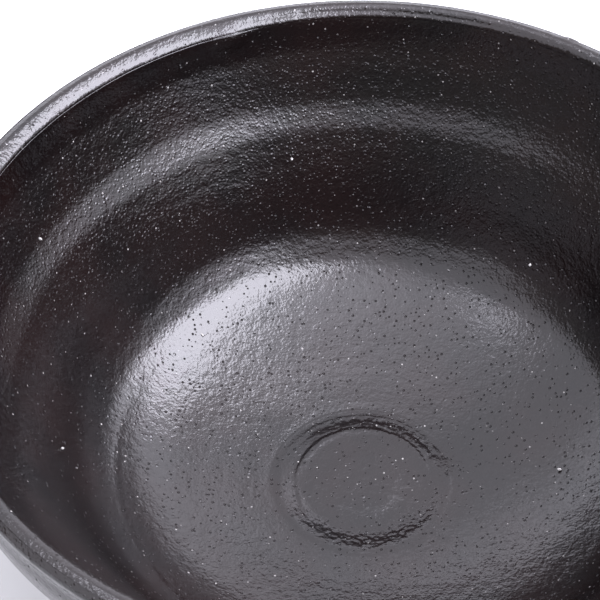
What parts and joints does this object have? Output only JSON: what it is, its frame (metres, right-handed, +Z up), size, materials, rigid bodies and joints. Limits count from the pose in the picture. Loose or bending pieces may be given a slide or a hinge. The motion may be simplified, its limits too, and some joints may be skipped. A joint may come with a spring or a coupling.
{
  "type": "matcha bowl",
  "caption": "Wide hand-thrown stoneware tea bowl on a joined foot ring, with dark satin glaze coats inside and outside, a tea pool in its floor and scattered white grains.",
  "frame": {"origin": "on the table, at the middle of the foot ring's flat sole", "axes": "+Z up along the bowl's turning axis; X and Y lie in the table"},
  "size_m": [0.125, 0.125, 0.06],
  "materials": {
    "stoneware_body": "bare fired clay, matt and gritty",
    "stoneware_foot": "bare fired clay, turned and matt",
    "black_glaze_inside": "black iron glaze, satin, with pinholes and white specks",
    "black_glaze_outside": "black iron glaze, satin, with pinholes and white specks",
    "white_grains": "white feldspar, half melted"
  },
  "bodies": {
    "root": {"clay_body": "stoneware_body", "foot_ring": "stoneware_foot", "inner_glaze": "black_glaze_inside", "outer_glaze": "black_glaze_outside", "feldspar_grains": "white_grains"}
  },
  "joints": []
}
